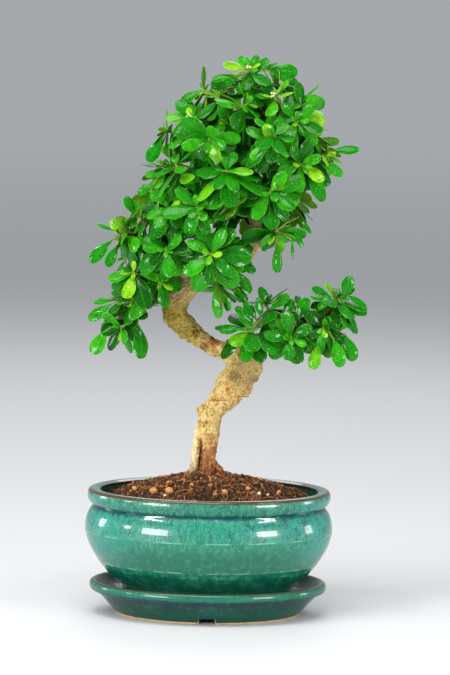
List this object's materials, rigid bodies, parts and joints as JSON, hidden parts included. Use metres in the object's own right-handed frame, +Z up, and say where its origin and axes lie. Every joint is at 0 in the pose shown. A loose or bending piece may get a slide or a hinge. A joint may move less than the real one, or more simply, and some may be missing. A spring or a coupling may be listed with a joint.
{
  "type": "potted bonsai tree",
  "caption": "Small-leaved bonsai with a winding trunk and a leafy crown, growing in an oval glazed pot that stands in a matching drip saucer.",
  "frame": {"origin": "bottom centre of the whole plant's bounding box, on the surface that the saucer stands on", "axes": "+X along the pot's long side to the right, +Y to the back, +Z up"},
  "size_m": [0.2244, 0.1582, 0.4521],
  "materials": {
    "glaze": "gloss",
    "drain_net": "matte",
    "compost": "matte",
    "bark": "matte",
    "leaf": "satin"
  },
  "bodies": {
    "root": {"saucer": "glaze", "pot": "glaze", "drain_net_left": "drain_net", "drain_net_right": "drain_net", "soil": "compost", "trunk_and_branches": "bark", "spray_top_1": "leaf", "spray_top_2": "leaf", "spray_top_3": "leaf", "spray_top_4": "leaf", "spray_top_5": "leaf", "spray_top_6": "leaf", "spray_top_7": "leaf", "spray_top_8": "leaf", "spray_upper_1": "leaf", "spray_upper_2": "leaf", "spray_upper_3": "leaf", "spray_upper_4": "leaf", "spray_upper_5": "leaf", "spray_upper_6": "leaf", "spray_upper_7": "leaf", "spray_upper_8": "leaf", "spray_upper_9": "leaf", "spray_middle_1": "leaf", "spray_middle_2": "leaf", "spray_middle_3": "leaf", "spray_middle_4": "leaf", "spray_middle_5": "leaf", "spray_middle_6": "leaf", "spray_middle_7": "leaf", "spray_middle_8": "leaf", "spray_middle_9": "leaf", "spray_middle_10": "leaf", "spray_lower_1": "leaf", "spray_lower_2": "leaf", "spray_lower_3": "leaf", "spray_lower_4": "leaf", "spray_lower_5": "leaf", "spray_lower_6": "leaf", "spray_lower_7": "leaf", "spray_lower_8": "leaf", "spray_lower_9": "leaf", "spray_left_1": "leaf", "spray_left_2": "leaf", "spray_left_3": "leaf", "spray_left_4": "leaf", "spray_left_5": "leaf", "spray_left_6": "leaf", "spray_left_7": "leaf", "spray_left_8": "leaf", "spray_left_9": "leaf", "spray_front_1": "leaf", "spray_front_2": "leaf", "spray_right_1": "leaf", "spray_right_2": "leaf", "spray_right_3": "leaf", "spray_right_4": "leaf", "spray_right_5": "leaf", "spray_right_6": "leaf", "spray_right_7": "leaf"}
  },
  "joints": []
}
